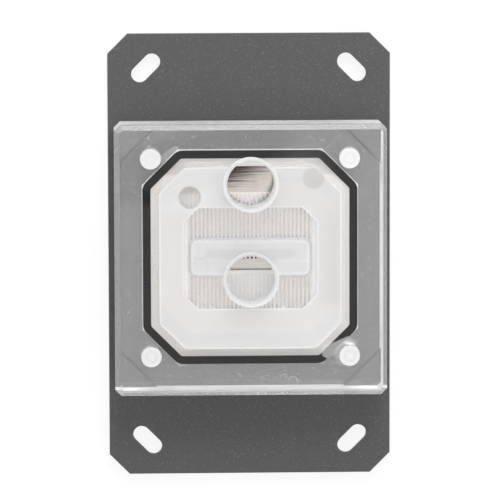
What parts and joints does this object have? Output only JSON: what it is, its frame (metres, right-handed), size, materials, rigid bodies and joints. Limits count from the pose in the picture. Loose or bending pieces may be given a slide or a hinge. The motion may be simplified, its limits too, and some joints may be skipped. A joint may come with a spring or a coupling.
{
  "type": "cpu water block",
  "caption": "Clear-topped liquid-cooling block with threaded ports, a finned cold plate and a slotted steel mounting bracket.",
  "frame": {"origin": "centre of the cold plate's contact face", "axes": "+Z out of the ports, +Y along the bracket from the inlet port towards the outlet port"},
  "size_m": [0.07, 0.11, 0.017],
  "materials": {
    "bracket_coat": "matte",
    "nickel_plating": "satin",
    "gasket_rubber": "matte",
    "jet_steel": "satin",
    "clear_acrylic": "polished",
    "screw_steel": "satin"
  },
  "bodies": {
    "root": {"mounting_bracket": "bracket_coat", "cold_plate": "nickel_plating", "gasket": "gasket_rubber", "jet_plate": "jet_steel", "clear_top": "clear_acrylic", "top_screw_1": "screw_steel", "top_screw_2": "screw_steel", "top_screw_3": "screw_steel", "top_screw_4": "screw_steel"}
  },
  "joints": []
}
